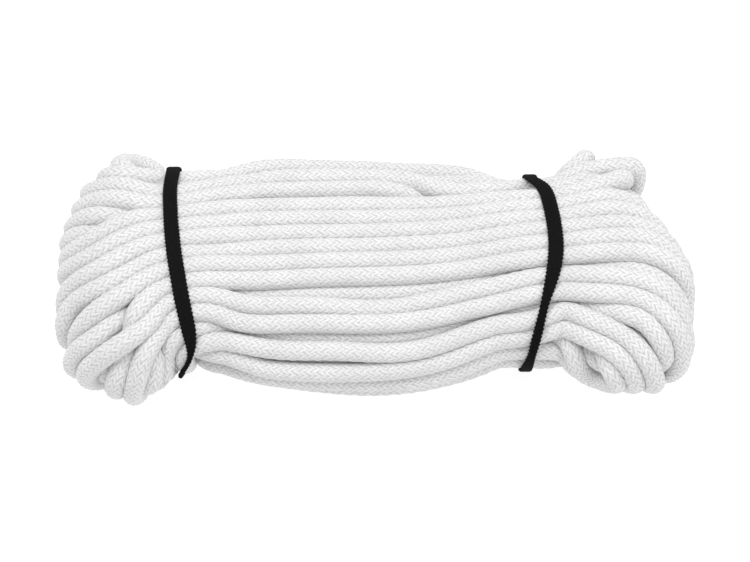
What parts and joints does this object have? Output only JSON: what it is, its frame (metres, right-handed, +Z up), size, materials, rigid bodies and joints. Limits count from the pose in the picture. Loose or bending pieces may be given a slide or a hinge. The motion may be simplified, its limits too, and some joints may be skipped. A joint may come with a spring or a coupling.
{
  "type": "dock line hank",
  "caption": "Soft white braided dock line made up in a long flat hank, held near each end by a black knitted elastic band that slides along it.",
  "frame": {"origin": "on the surface the hank rests on, under the middle of its box", "axes": "+X along the hank, +Y away from the side that is seen, +Z up"},
  "size_m": [0.335, 0.1553, 0.0813],
  "materials": {
    "braided_line": "soft matte braid",
    "black_elastic": "matte knitted elastic",
    "whipping_twine": "waxed twine",
    "black_thread": "sewing thread"
  },
  "bodies": {
    "hank": {"line_hank": "braided_line", "line_end_a": "braided_line", "line_end_b": "braided_line", "whipping_a": "whipping_twine", "whipping_b": "whipping_twine"},
    "left_elastic": {"left_band": "black_elastic", "left_band_stitching": "black_thread"},
    "right_elastic": {"right_band": "black_elastic", "right_band_stitching": "black_thread"}
  },
  "joints": [
    {"name": "left_band_slide", "type": "slide", "parent": "hank", "child": "left_elastic", "axis": [1, 0, 0], "range_m": [0, 0.008]},
    {"name": "right_band_slide", "type": "slide", "parent": "hank", "child": "right_elastic", "axis": [-1, 0, 0], "range_m": [0, 0.008]}
  ]
}
